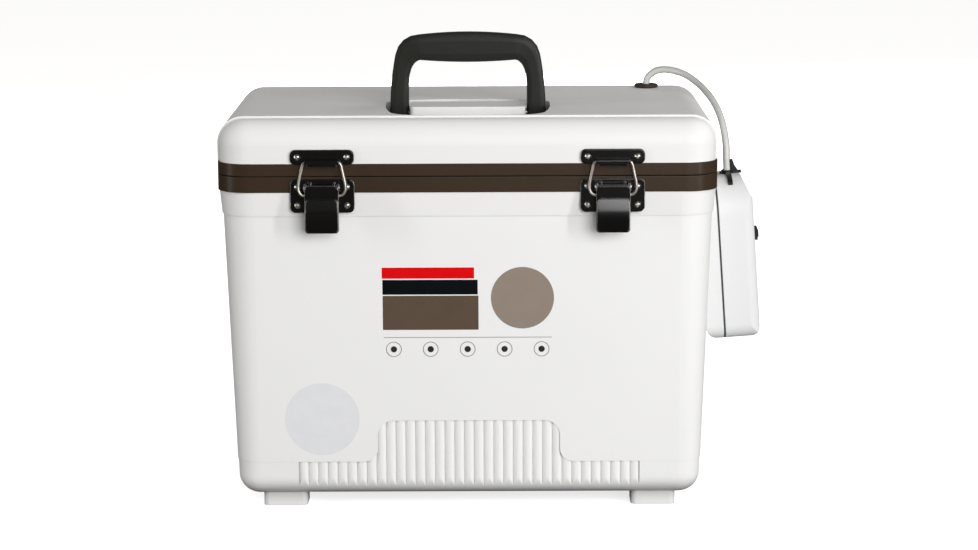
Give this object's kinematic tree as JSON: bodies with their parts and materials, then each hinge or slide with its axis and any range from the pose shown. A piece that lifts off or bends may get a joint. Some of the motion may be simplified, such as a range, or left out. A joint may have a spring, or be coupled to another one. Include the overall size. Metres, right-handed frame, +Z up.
{
  "type": "aerated bait bucket",
  "caption": "Insulated hard-sided bait bucket with a hinged latching lid, folding carry handle and a side-hung battery air pump feeding a hose through the lid.",
  "frame": {"origin": "On the floor plane, at the middle of the four feet, under the middle of the insulated body.", "axes": "+X runs to the right, towards the air pump; -Y is the front with the two latches; +Z is up."},
  "size_m": [0.4572, 0.2859, 0.3924],
  "materials": {
    "body_white": "moulded polyethylene, satin white",
    "lid_white": "moulded polyethylene, satin white",
    "liner_white": "smooth white tank liner",
    "foot_white": "moulded white foot pads",
    "rim_brown": "dark brown moulded rim, satin",
    "foam_cream": "rigid insulating foam",
    "seal_rubber": "dark rubber seal",
    "handle_black": "black satin moulded plastic",
    "latch_black": "black lacquered pressed steel",
    "screw_steel": "stainless screw heads",
    "pin_steel": "plain steel pins",
    "wire_steel": "stainless spring wire",
    "hinge_steel": "stainless hinge leaves",
    "grommet_brown": "brown moulded fitting",
    "hose_grey": "translucent grey flexible hose",
    "stone_blue": "porous bonded air stone",
    "bracket_black": "black moulded plastic",
    "pump_white": "white pump case, semi gloss",
    "tube_rubber": "black rubber",
    "board_green": "circuit board",
    "cell_label": "plain wrapped battery cells",
    "contact_steel": "plated contact strips",
    "motor_steel": "small motor can",
    "crank_brown": "moulded crank",
    "chamber_grey": "moulded air chamber"
  },
  "bodies": {
    "bucket": {"body_shell": "body_white", "body_rim": "rim_brown", "body_liner": "liner_white", "body_foam": "foam_cream", "foot_pads": "foot_white", "latch_base_left": "latch_black", "latch_base_right": "latch_black", "latch_base_screws": "screw_steel", "latch_pins": "pin_steel", "hinge_body_leaves": "hinge_steel", "hinge_pins": "pin_steel", "hinge_body_screws": "screw_steel", "air_hose": "hose_grey", "inner_hose": "hose_grey", "air_stone": "stone_blue", "pump_bracket": "bracket_black", "bracket_screws": "screw_steel", "pump_back_case": "pump_white", "pump_front_case": "pump_white", "pump_seal": "seal_rubber", "pump_case_screws": "screw_steel", "outlet_boot": "bracket_black", "outlet_tube": "tube_rubber", "switch_board": "board_green", "battery_cells": "cell_label", "battery_contacts": "contact_steel", "motor": "motor_steel", "air_chamber": "chamber_grey", "diaphragm": "tube_rubber"},
    "lid": {"lid_shell": "lid_white", "lid_rim": "rim_brown", "lid_liner": "liner_white", "lid_foam": "foam_cream", "lid_seal": "seal_rubber", "strike_left": "latch_black", "strike_right": "latch_black", "strike_screws": "screw_steel", "hinge_lid_leaves": "hinge_steel", "hinge_lid_screws": "screw_steel", "hose_grommet": "grommet_brown", "grommet_nut": "grommet_brown"},
    "carry_handle": {"handle": "handle_black", "handle_rod": "pin_steel"},
    "left_lever": {"lever_left": "latch_black"},
    "right_lever": {"lever_right": "latch_black"},
    "left_bail": {"bail_left": "wire_steel"},
    "right_bail": {"bail_right": "wire_steel"},
    "switch": {"switch_knob": "bracket_black"},
    "crank": {"motor_crank": "crank_brown"}
  },
  "joints": [
    {"name": "lid_hinge", "type": "hinge", "parent": "bucket", "child": "lid", "pos_m": [0, 0.1365, 0.2835], "axis": [-1, 0, 0], "range_deg": [0, 100], "deforming": ["air_hose", "inner_hose"]},
    {"name": "handle_hinge", "type": "hinge", "parent": "lid", "child": "carry_handle", "pos_m": [0, -0.034, 0.324], "axis": [1, 0, 0], "range_deg": [0, 90]},
    {"name": "left_lever_hinge", "type": "hinge", "parent": "bucket", "child": "left_lever", "pos_m": [-0.1185, -0.1381, 0.2755], "axis": [-1, 0, 0], "range_deg": [0, 90]},
    {"name": "left_bail_hinge", "type": "hinge", "parent": "left_lever", "child": "left_bail", "pos_m": [-0.1185, -0.13664, 0.26865], "axis": [1, 0, 0], "range_deg": [0, 72]},
    {"name": "right_lever_hinge", "type": "hinge", "parent": "bucket", "child": "right_lever", "pos_m": [0.1185, -0.1381, 0.2755], "axis": [-1, 0, 0], "range_deg": [0, 90]},
    {"name": "right_bail_hinge", "type": "hinge", "parent": "right_lever", "child": "right_bail", "pos_m": [0.1185, -0.13664, 0.26865], "axis": [1, 0, 0], "range_deg": [0, 72]},
    {"name": "switch_slide", "type": "slide", "parent": "bucket", "child": "switch", "axis": [-0.0698, 0, 0.9976], "range_m": [0, 0.004]},
    {"name": "crank_spin", "type": "hinge", "parent": "bucket", "child": "crank", "pos_m": [0.22576, 0, 0.22111], "axis": [0, 1, 0], "continuous": true}
  ],
  "couplings": [
    {"joint": "left_bail_hinge", "follows": "left_lever_hinge", "ratio": 0.78},
    {"joint": "right_bail_hinge", "follows": "right_lever_hinge", "ratio": 0.78}
  ]
}
